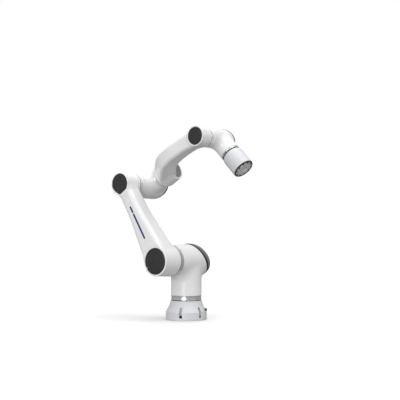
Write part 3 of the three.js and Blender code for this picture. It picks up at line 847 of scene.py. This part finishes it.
def forearm_field(p):
    """The forearm's casting: a collar at the elbow, a swept bar and a collar at the wrist."""
    x, y, z = p[..., 0], p[..., 1], p[..., 2]
    start = MODULES["elbow"]["stem_reach"] + JOINT_GAP
    far = MODULES["wrist"]["barrel_reach"] + JOINT_GAP
    up = z - FOREARM_LENGTH
    radius = MODULES["elbow"]["stem"]
    bar = forearm_bar(p, 0)
    collar = common(np.hypot(x, y) - radius, z - COLLAR_END, 1.6)
    wrist_radius = np.hypot(x, up)
    wrist_collar = common(wrist_radius - WRIST_COLLAR, y + far)
    wrist_collar = common(wrist_collar, -y - WRIST_FACE, 2.0)
    body = union(union(bar, collar, BAR_BLEND), wrist_collar, WRIST_BLEND)
    body = common(body, start - z)
    body = common(body, -y - WRIST_FACE, 2.0)
    body = np.where(up > -60, common(body, y + far, 0.6), body)
    body = np.where(up > 0, common(body, wrist_radius - WRIST_COLLAR, 0.6), body)
    cap = np.maximum(np.hypot(x, y) - COLLAR_CAP - CAP_GAP, COLLAR_END - CAP_DEPTH - z)
    wrist_cap = np.maximum(wrist_radius - WRIST_CAP - CAP_GAP, WRIST_FACE - CAP_DEPTH + y)
    bore = np.maximum(np.hypot(x, y) - COLLAR_BORE, z - COLLAR_END + COVER_WALL)
    wrist_bore = np.maximum(wrist_radius - WRIST_BORE, -y - WRIST_FACE + COVER_WALL)
    channel = np.maximum(forearm_bar(p, BAR_WALL), up + CHANNEL_END)
    hollow = np.minimum(np.minimum(bore, wrist_bore), channel)
    for cut in (cap, wrist_cap, hollow):
        body = common(body, -cut, 1.2)
    return body


def make_forearm():
    settings = dict(place=FOREARM_FRAME, body="forearm")
    add_field(
        "forearm_casting", forearm_field, (-54, -162, 84), (54, 54, FOREARM_LENGTH + 46),
        LINK_STEP, slot="white_paint", material=WHITE, replaces=["forearm_shell"], **settings,
    )
    profile = [(COLLAR_CAP - inset, COLLAR_END - depth) for inset, depth in COLLAR_STEPS]
    profile = [(0, COLLAR_END - 5)] + profile + [(0, COLLAR_END - 0.6)]
    points, faces = turned(rounded(profile, 0.6, closed=False), closed=False, count=128)
    add_piece("forearm_collar_cover", points, faces, slot="dark_cover", material=GREY,
              replaces=["forearm_end_cap"], **settings)
    make_cap("forearm_wrist_cover", WRIST_CAP, WRIST_FACE, FOREARM_LENGTH, FOREARM_WAY,
             replaced="forearm_wrist_cap", notch=False, **settings)


# ------------------------------------------------------------------ tool end
LIP_RADIUS = 31.2  # the disc is lower outside this, where the screws stand
PILOT_RADIUS = 15.75
TAPPED_CIRCLE, TAPPED_RADIUS = 25, 3.1
SLOT_CIRCLE, SLOT_HALF_WIDTH = 28.3, 2.3
SLOT_HALF_TURN = 0.36  # in radians
THROAT_RADIUS = 36.0  # where the barrel's rounded shoulder starts
SHOULDER_LENGTH = 18.0
TOOL_BORE, TOOL_INNER = 36.4, 34
SCREWS = 10
SCREW_CIRCLE = 34.2
# A screw head with its socket: [radius, height] points.
SCREW_HEAD = [(0, -4), (3.2, -4), (3.2, 0), (1.5, 0), (1.5, -1.5), (0, -1.5)]


def flange_field(p):
    """The flange disc: a pilot bore, four tapped holes, four curved slots and a stepped edge."""
    x, y, z = p[..., 0], p[..., 1], p[..., 2]
    reach = np.hypot(x, y)
    turn = np.arctan2(y, x)
    body = common(reach - FLANGE_RADIUS, z - FLANGE_FACE, 0.8)
    body = common(body, FLANGE_FACE - 5 - z, 0.8)
    lip = common(LIP_RADIUS - reach, FLANGE_FACE - 1.6 - z, 0.4)
    body = common(body, -lip, 0.4)
    bore = np.maximum(reach - PILOT_RADIUS, FLANGE_FACE - 3 - z)
    body = common(body, -bore, 0.5)
    between = (turn % (math.pi / 2)) - math.pi / 4  # from the nearest tapped hole
    tapped = np.hypot(reach * np.sin(between), reach * np.cos(between) - TAPPED_CIRCLE)
    tapped = tapped - TAPPED_RADIUS
    quarter = (turn + math.pi / 4) % (math.pi / 2) - math.pi / 4  # from the nearest slot's middle
    slot_turn = np.clip(quarter, -SLOT_HALF_TURN, SLOT_HALF_TURN)
    slot_x, slot_y = SLOT_CIRCLE * np.cos(slot_turn), SLOT_CIRCLE * np.sin(slot_turn)
    slot = np.hypot(reach * np.cos(quarter) - slot_x, reach * np.sin(quarter) - slot_y)
    slot = slot - SLOT_HALF_WIDTH
    depth = FLANGE_FACE - 3.5 - z
    body = common(body, -np.maximum(tapped, depth), 0.3)
    return common(body, -np.maximum(slot, depth), 0.3)


def make_tool_end():
    """The tool end's barrel, the dark band round its flange, and the flange with its screws."""
    settings = dict(place=TOOL_FRAME, body="tool_end")
    start = MODULES["wrist"]["stem_reach"] + JOINT_GAP
    shoulder = []
    for turn in [k / 12 * math.pi / 2 for k in range(13)]:
        shoulder.append((THROAT_RADIUS + (TOOL_RADIUS - THROAT_RADIUS) * math.sin(turn),
                         start + SHOULDER_LENGTH * (1 - math.cos(turn))))
    barrel = rounded(
        [(TOOL_RADIUS, start + 24), (TOOL_RADIUS, TOOL_END), (TOOL_BORE, TOOL_END),
         (TOOL_BORE, TOOL_END - 14), (TOOL_INNER, TOOL_END - 18), (TOOL_INNER, start + 9),
         (20, start + 9)], 1.2, closed=False)
    # The barrel wears the darker copy of the white paint, as painted shade.
    points, faces = turned([(20, start)] + shoulder + barrel, count=160)
    add_piece("tool_barrel", points, faces, slot="white_paint", material=SHADED_WHITE,
              replaces=["tool_housing"], **settings)
    inner, low, high = FLANGE_RADIUS + GAP, TOOL_END + GAP, TOOL_REACH - 1.5
    band = rounded([(inner, low), (SURROUND_RADIUS, low), (SURROUND_RADIUS, high), (inner, high)],
                   0.8)
    points, faces = turned(band, count=160)
    add_piece("tool_surround_band", points, faces, slot="dark_trim", material=RUBBER,
              replaces=["tool_surround"], **settings)
    add_field(
        "tool_flange_disc", flange_field, (-41, -41, FLANGE_FACE - 7), (41, 41, TOOL_REACH + 1),
        FLANGE_STEP, slot="machined_steel", material=SATIN, replaces=["tool_flange"], **settings,
    )
    head, faces = turned(rounded(SCREW_HEAD, 0.25, closed=False), closed=False, count=24)
    for k in range(SCREWS):
        turn = 2 * math.pi * (k + 0.35) / SCREWS
        spot = (SCREW_CIRCLE * math.cos(turn), SCREW_CIRCLE * math.sin(turn), FLANGE_FACE - 0.2)
        add_piece(f"flange_screw_{k + 1}", head + spot, faces, slot="dark_trim", material=RIM,
                  **settings)


# ------------------------------------------------------------------ carried-over inner pieces
INNER_FINISHES = {"_gear": STEEL, "_brake": STEEL, "_motor": COPPER, "_encoder": BOARD,
                  "_harness": RUBBER, "base_plate": STEEL}


def finish_inner_nodes():
    """Gives the CAD nodes that nothing replaces their finish."""
    for name, node in frame["nodes"].items():
        for ending, finish in INNER_FINISHES.items():
            if name.endswith(ending):
                node.data.materials.clear()
                node.data.materials.append(finish)


# ------------------------------------------------------------------ camera, light and floor
WORLD_GREYS = (0.33, 0.50, 0.92)  # the studio straight down, level and straight up
WORLD_FRONT = 1.0  # factors on those greys in front of the arm and behind it
WORLD_BACK = 0.75
# Each light's place round the arm and its height, in degrees, its strength and its width.
SUNS = {
    "top_softbox": (30, 80, 0.8, 60),
    "key_softbox": (20, 3, 1.45, 25),
    "side_softbox": (95, 55, 0.7, 55),
    "back_softbox": (215, 35, 0.3, 60),
}
FLOOR_HALF = 30.0  # in metres
FLOOR_DROP = 0.0005  # how far the floor lies below the foot
CAMERA_TURN = math.radians(39.3)  # round the arm, from straight in front of the caps
CAMERA_AWAY = 3.6333  # in metres, from the axis of joint 1
CAMERA_HEIGHT = 0.3626
CAMERA_TILT = math.radians(2.1)  # upwards
CAMERA_YAW = math.radians(0.9)  # to the right of the axis of joint 1
CAMERA_LENS = 78.26
SENSOR_WIDTH = 36.0


def make_camera():
    data = bpy.data.cameras.new("camera")
    data.lens = CAMERA_LENS
    data.sensor_width = SENSOR_WIDTH
    camera = bpy.data.objects.new("camera", data)
    bpy.context.collection.objects.link(camera)
    right, back = math.sin(CAMERA_TURN), math.cos(CAMERA_TURN)
    camera.location = (CAMERA_AWAY * right, -CAMERA_AWAY * back, CAMERA_HEIGHT)
    camera.rotation_euler = (math.pi / 2 + CAMERA_TILT, 0, CAMERA_TURN - CAMERA_YAW)
    bpy.context.scene.camera = camera


def sun(name, turn, height, strength, width):
    """A wide, soft light from `turn` degrees round the arm and `height` degrees up."""
    data = bpy.data.lights.new(name, "SUN")
    data.energy = strength
    data.angle = math.radians(width)
    light = bpy.data.objects.new(name, data)
    bpy.context.collection.objects.link(light)
    light.rotation_euler = (math.radians(90 - height), 0, math.radians(turn))


def make_world():
    """A white backdrop for the camera, and grey studio walls that light the arm."""
    world = bpy.data.worlds.new("studio")
    world.use_nodes = True
    nodes, links = world.node_tree.nodes, world.node_tree.links
    place = nodes.new("ShaderNodeTexCoord")
    parts = nodes.new("ShaderNodeSeparateXYZ")
    walls = nodes.new("ShaderNodeValToRGB")
    height = nodes.new("ShaderNodeMapRange")
    height.inputs["From Min"].default_value = -1
    walls.color_ramp.elements.new(0.5)
    for stop, grey in zip(walls.color_ramp.elements, WORLD_GREYS):
        stop.color = (grey, grey, grey, 1)
    links.new(place.outputs["Generated"], parts.inputs["Vector"])
    links.new(parts.outputs["Z"], height.inputs["Value"])
    links.new(height.outputs["Result"], walls.inputs["Fac"])
    backdrop = nodes.new("ShaderNodeMix")
    backdrop.data_type = "RGBA"
    backdrop.inputs[MIX_SECOND].default_value = (1, 1, 1, 1)
    path = nodes.new("ShaderNodeLightPath")
    links.new(path.outputs["Is Camera Ray"], backdrop.inputs[MIX_FACTOR])
    depth = nodes.new("ShaderNodeMapRange")
    depth.inputs["From Min"].default_value = -1
    depth.inputs["To Min"].default_value = WORLD_FRONT
    depth.inputs["To Max"].default_value = WORLD_BACK
    links.new(parts.outputs["Y"], depth.inputs["Value"])
    shade = nodes.new("ShaderNodeVectorMath")
    shade.operation = "SCALE"
    links.new(walls.outputs["Color"], shade.inputs[0])
    links.new(depth.outputs["Result"], shade.inputs["Scale"])
    links.new(shade.outputs["Vector"], backdrop.inputs[MIX_FIRST])
    links.new(backdrop.outputs[MIX_RESULT], nodes["Background"].inputs["Color"])
    bpy.context.scene.world = world


def make_studio():
    make_world()
    bpy.context.scene.view_settings.view_transform = "Standard"
    for name, settings in SUNS.items():
        sun(name, *settings)
    mesh = bpy.data.meshes.new("floor")
    corners = [(x * FLOOR_HALF, y * FLOOR_HALF, 0) for x, y in ((-1, -1), (1, -1), (1, 1), (-1, 1))]
    mesh.from_pydata(corners, [], [(0, 1, 2, 3)])
    floor = bpy.data.objects.new("floor", mesh)
    bpy.context.collection.objects.link(floor)
    floor.location.z = -FLOOR_DROP
    floor.visible_diffuse = False
    floor.visible_glossy = False
    finish = material("floor_white", ((0.93, 0.93, 0.93), (0.95, 0.95, 0.95)), 2, (0.7, 0.8))
    floor.data.materials.append(finish)


make_camera()
make_studio()
make_base()
make_module("shoulder", "joint_1", "joint_2")
make_upper_arm()
make_module("elbow", "joint_4", "joint_3")
make_forearm()
make_module("wrist", "joint_6", "joint_5")
make_tool_end()
finish_inner_nodes()
